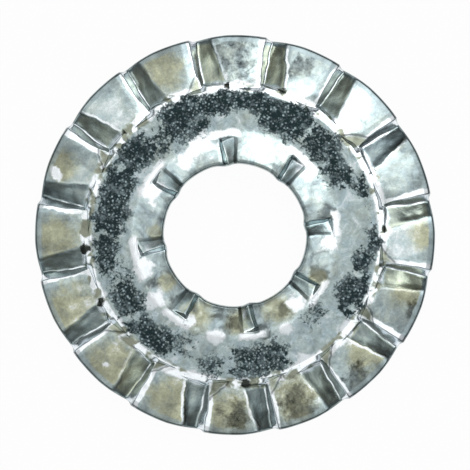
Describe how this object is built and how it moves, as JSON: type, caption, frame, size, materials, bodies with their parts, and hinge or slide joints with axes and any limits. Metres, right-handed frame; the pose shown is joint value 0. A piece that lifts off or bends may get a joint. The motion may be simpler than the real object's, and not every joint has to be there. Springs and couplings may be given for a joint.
{
  "type": "toothed lock washer",
  "caption": "Dished spring steel lock washer with pressed ratchet teeth around its rim and its hole.",
  "frame": {"origin": "on the bore axis, level with the lowest tooth edge of the rim", "axes": "+Z along the bore axis, from the toothed rim to the raised inner edge; +X is a direction square to it, 12.4 degrees clockwise, seen from above, of one rim ridge"},
  "size_m": [0.018, 0.018, 0.0023],
  "materials": {
    "zinc_plate": "bright zinc plating with a fine grain"
  },
  "bodies": {
    "root": {"toothed_washer": "zinc_plate"}
  },
  "joints": []
}
